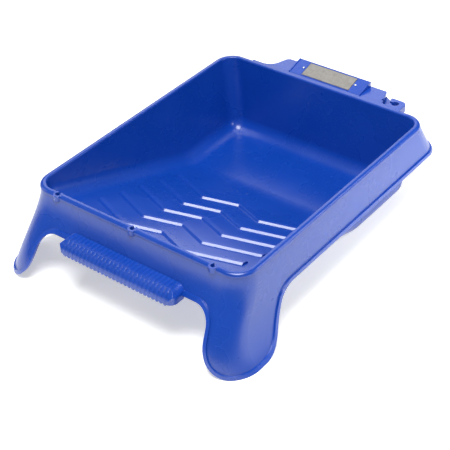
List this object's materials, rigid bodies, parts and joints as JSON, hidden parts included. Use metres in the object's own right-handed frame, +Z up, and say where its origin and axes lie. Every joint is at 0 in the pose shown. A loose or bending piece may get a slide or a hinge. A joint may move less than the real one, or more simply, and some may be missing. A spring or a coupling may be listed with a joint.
{
  "type": "paint roller tray",
  "caption": "Deep-well plastic paint roller tray with a ribbed ramp, two front legs, a finger grip and a magnetic brush holder on its back shelf.",
  "frame": {"origin": "middle of the footprint, on the surface that the tray stands on", "axes": "+X right as seen from the grip, +Y towards the back shelf, +Z up"},
  "size_m": [0.3544, 0.4453, 0.1126],
  "materials": {
    "tray_plastic": "semi-gloss, fine moulded grain, light scuffs",
    "holder_plastic": "semi-gloss",
    "face_steel": "galvanised, mottled",
    "ferrite": "matt sintered",
    "pin_steel": "bright"
  },
  "bodies": {
    "root": {"tray_body": "tray_plastic", "magnet_holder": "holder_plastic", "magnet_face_plate": "face_steel", "magnet_bar": "ferrite", "holder_pins": "pin_steel"}
  },
  "joints": []
}
